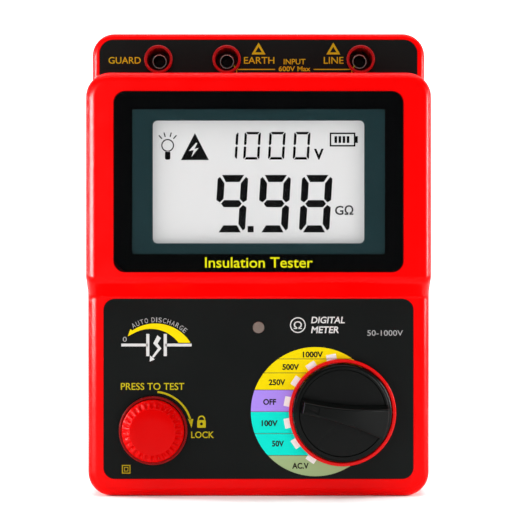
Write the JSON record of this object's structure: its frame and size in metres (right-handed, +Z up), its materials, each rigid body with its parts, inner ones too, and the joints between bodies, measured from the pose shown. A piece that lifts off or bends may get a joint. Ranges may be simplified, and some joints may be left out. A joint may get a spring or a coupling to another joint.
{
  "type": "insulation resistance tester",
  "caption": "Hand-held insulation tester: raised display housing, recessed terminal strip with plug sockets, rotary range selector, press-and-lock test button and battery door.",
  "frame": {"origin": "under the middle of the body, on the surface the lower end stands on", "axes": "+Z up to the terminal end, the face looks along -Y, +X to the reader's right"},
  "size_m": [0.148, 0.086, 0.202],
  "materials": {
    "case_red": "red semi-gloss moulded plastic",
    "panel_black": "fine matt black printed film",
    "window_glass": "clear acrylic pane",
    "mask_black": "gloss black printing behind the pane",
    "bezel_teal": "dark teal plastic",
    "lcd_grey": "pale reflective display",
    "white_plastic": "white moulded plastic",
    "board_green": "green solder mask",
    "black_plastic": "black moulded plastic",
    "knob_black": "satin black plastic",
    "button_red": "glossy red plastic",
    "socket_red": "red plastic",
    "nickel": "nickel-plated brass",
    "steel": "zinc-plated steel",
    "rubber_black": "black rubber",
    "foam_grey": "grey foam",
    "ferrite": "dark ferrite",
    "copper_tape": "yellow taped winding",
    "capacitor_blue": "blue sleeve",
    "relay_orange": "orange relay case",
    "lens_grey": "smoked lens",
    "wire_black": "black insulation",
    "wire_green": "green insulation",
    "wire_red": "red insulation",
    "cell_sleeve": "plain cell sleeve"
  },
  "bodies": {
    "case": {"front_case": "case_red", "rear_case": "case_red", "case_gasket": "rubber_black", "case_screws": "steel", "rubber_feet": "rubber_black", "control_panel": "panel_black", "terminal_panel": "panel_black", "display_window": "window_glass", "window_mask": "mask_black", "display_bezel": "bezel_teal", "lcd_panel": "lcd_grey", "lcd_backlight": "white_plastic", "lcd_holder": "white_plastic", "display_board": "board_green", "main_board": "board_green", "board_screws": "steel", "board_connector": "black_plastic", "transformer_core": "ferrite", "transformer_winding": "copper_tape", "reservoir_capacitors": "capacitor_blue", "range_relays": "relay_orange", "control_chips": "black_plastic", "fuse": "white_plastic", "fuse_clips": "nickel", "buzzer": "black_plastic", "indicator_lens": "lens_grey", "indicator_led": "white_plastic", "guard_housing": "socket_red", "earth_housing": "socket_red", "line_housing": "socket_red", "guard_contact": "nickel", "earth_contact": "nickel", "line_contact": "nickel", "socket_nuts": "black_plastic", "guard_lead": "wire_black", "earth_lead": "wire_green", "line_lead": "wire_red", "selector_switch": "black_plastic", "selector_ring": "case_red", "button_collar": "case_red", "button_spring": "steel", "test_switch": "black_plastic", "battery_tray": "black_plastic", "battery_cells": "cell_sleeve", "battery_contacts": "nickel", "battery_lead_positive": "wire_red", "battery_lead_negative": "wire_black"},
    "selector": {"selector_shaft": "steel", "selector_knob": "knob_black"},
    "test_plunger": {"button_plunger": "black_plastic"},
    "test_cap": {"button_cap": "button_red"},
    "battery_cover": {"battery_door": "black_plastic", "door_screws": "steel", "door_pad": "foam_grey"}
  },
  "joints": [
    {"name": "selector_turn", "type": "hinge", "parent": "case", "child": "selector", "pos_m": [0.0362, -0.027, 0.0365], "axis": [0, -1, 0], "range_deg": [-67.5, 67.5]},
    {"name": "button_press", "type": "slide", "parent": "case", "child": "test_plunger", "axis": [0, 1, 0], "range_m": [0, 0.004], "stiffness_N_per_m": 400, "springref_m": -0.002, "deforming": ["button_spring"]},
    {"name": "button_lock_turn", "type": "hinge", "parent": "test_plunger", "child": "test_cap", "pos_m": [-0.0454, -0.027, 0.0288], "axis": [0, -1, 0], "range_deg": [-90, 0]},
    {"name": "battery_cover_lift", "type": "slide", "parent": "case", "child": "battery_cover", "axis": [0, 1, 0], "range_m": [0, 0.05]}
  ]
}
